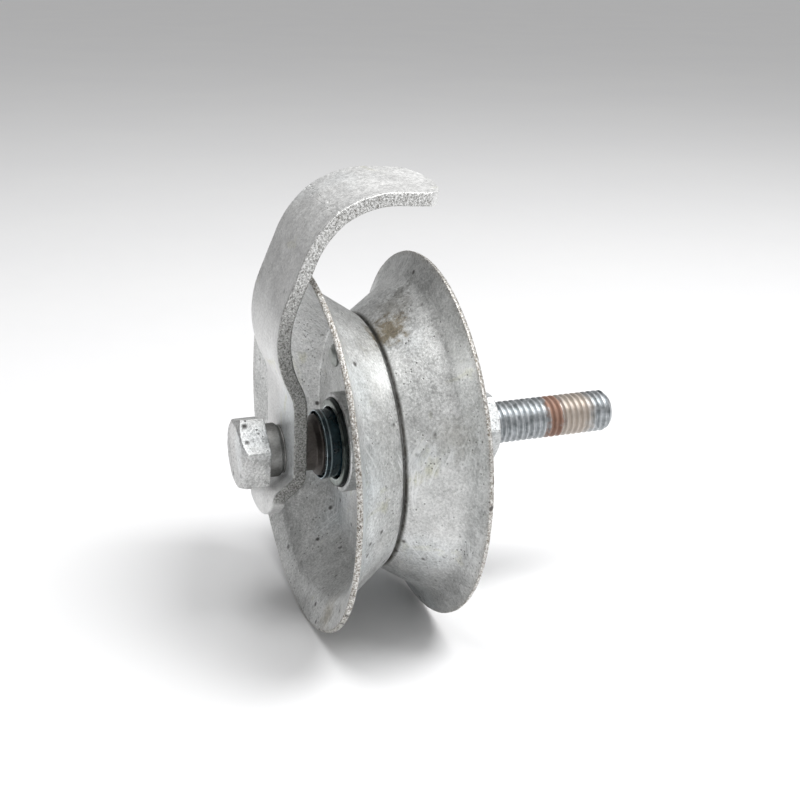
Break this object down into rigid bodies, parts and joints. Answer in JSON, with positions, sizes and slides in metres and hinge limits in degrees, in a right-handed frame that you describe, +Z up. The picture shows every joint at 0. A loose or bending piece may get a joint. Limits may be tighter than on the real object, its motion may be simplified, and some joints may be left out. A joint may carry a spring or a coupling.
{
  "type": "gate track wheel",
  "caption": "Double-flanged pressed-steel gate wheel on a through-bolt with ball-bearing hub, threaded mounting stud and a hooked guard arching over the groove.",
  "frame": {"origin": "wheel centre: on the axle line, on the seam between the two pressed halves", "axes": "+Y along the axle towards the threaded stud, +Z up along the guard, +X to the side"},
  "size_m": [0.1316, 0.1444, 0.1607],
  "materials": {
    "galvanised_pressing": "dull hot-dip zinc with mottling, pits and scratches",
    "galvanised_bar": "dull zinc, sheared edges rough",
    "rivet_steel": "dull zinc",
    "hub_steel": "oily steel, greenish dark",
    "bearing_steel": "ground steel",
    "cage_steel": "pressed steel",
    "dust_seal": "dark blue, oily gloss",
    "zinc_bolt": "bright zinc, a rust band on the thread",
    "zinc_nut": "bright zinc, speckled",
    "spacer_steel": "dark bare steel"
  },
  "bodies": {
    "axle": {"axle_bolt": "zinc_bolt", "head_collar": "spacer_steel", "guard_spacer": "spacer_steel", "outboard_inner_race": "bearing_steel", "inner_race_spacer": "bearing_steel", "inboard_inner_race": "bearing_steel", "outboard_dust_ring": "dust_seal", "inboard_dust_ring": "dust_seal", "inboard_spacer": "spacer_steel", "nut_washer": "zinc_nut", "axle_nut": "zinc_nut"},
    "wheel": {"outboard_wheel_half": "galvanised_pressing", "inboard_wheel_half": "galvanised_pressing", "web_rivets": "rivet_steel", "hub_sleeve": "hub_steel", "outboard_outer_race": "bearing_steel", "inboard_outer_race": "bearing_steel", "outboard_dust_shield": "dust_seal", "inboard_dust_shield": "dust_seal"},
    "outboard_ball_set": {"outboard_bearing_balls": "bearing_steel", "outboard_ball_cage": "cage_steel"},
    "inboard_ball_set": {"inboard_bearing_balls": "bearing_steel", "inboard_ball_cage": "cage_steel"},
    "guard": {"guard_strap": "galvanised_bar"}
  },
  "joints": [
    {"name": "wheel_spin", "type": "hinge", "parent": "axle", "child": "wheel", "pos_m": [0, 0, 0], "axis": [0, 1, 0], "continuous": true},
    {"name": "outboard_ball_set_spin", "type": "hinge", "parent": "axle", "child": "outboard_ball_set", "pos_m": [0, 0, 0], "axis": [0, 1, 0], "continuous": true},
    {"name": "inboard_ball_set_spin", "type": "hinge", "parent": "axle", "child": "inboard_ball_set", "pos_m": [0, 0, 0], "axis": [0, 1, 0], "continuous": true},
    {"name": "guard_swing", "type": "hinge", "parent": "axle", "child": "guard", "pos_m": [0, -0.0275, 0], "axis": [0, 1, 0], "continuous": true}
  ],
  "couplings": [
    {"joint": "outboard_ball_set_spin", "follows": "wheel_spin", "ratio": 0.57234},
    {"joint": "inboard_ball_set_spin", "follows": "wheel_spin", "ratio": 0.57234}
  ]
}
